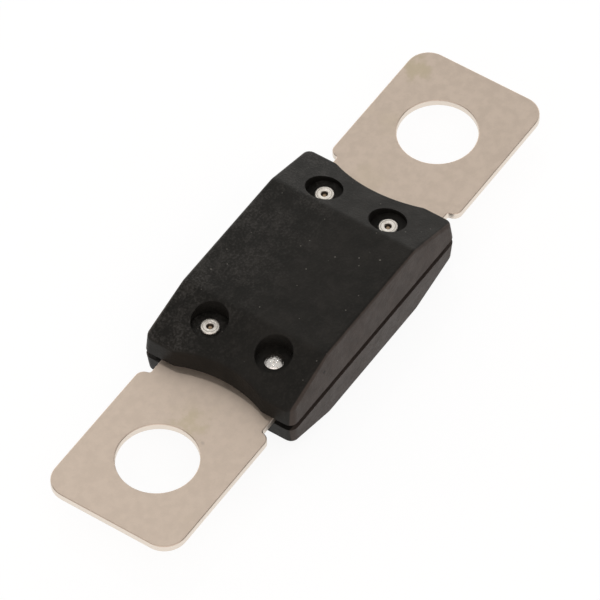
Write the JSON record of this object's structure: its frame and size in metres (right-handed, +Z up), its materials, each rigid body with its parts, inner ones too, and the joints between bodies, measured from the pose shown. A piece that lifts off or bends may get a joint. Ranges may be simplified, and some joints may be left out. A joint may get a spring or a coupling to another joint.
{
  "type": "bolt down strip fuse",
  "caption": "Bolt-down strip fuse: flat metal strip with a bolt hole in each end, clamped in a black riveted two-part housing with sloped, hollowed ends.",
  "frame": {"origin": "middle of the flat underside of the lower housing, which the fuse rests on", "axes": "+X along the strip from bolt hole to bolt hole, +Y across it, +Z up through the upper housing"},
  "size_m": [0.069, 0.0186, 0.0097],
  "materials": {
    "strip_metal": "satin, tin-coloured sheet metal",
    "housing_plastic": "matte black moulding with a fine grain",
    "rivet_metal": "bright metal"
  },
  "bodies": {
    "root": {"fuse_strip": "strip_metal", "upper_housing": "housing_plastic", "lower_housing": "housing_plastic", "rivet_left_front": "rivet_metal", "rivet_left_rear": "rivet_metal", "rivet_right_front": "rivet_metal", "rivet_right_rear": "rivet_metal"}
  },
  "joints": []
}
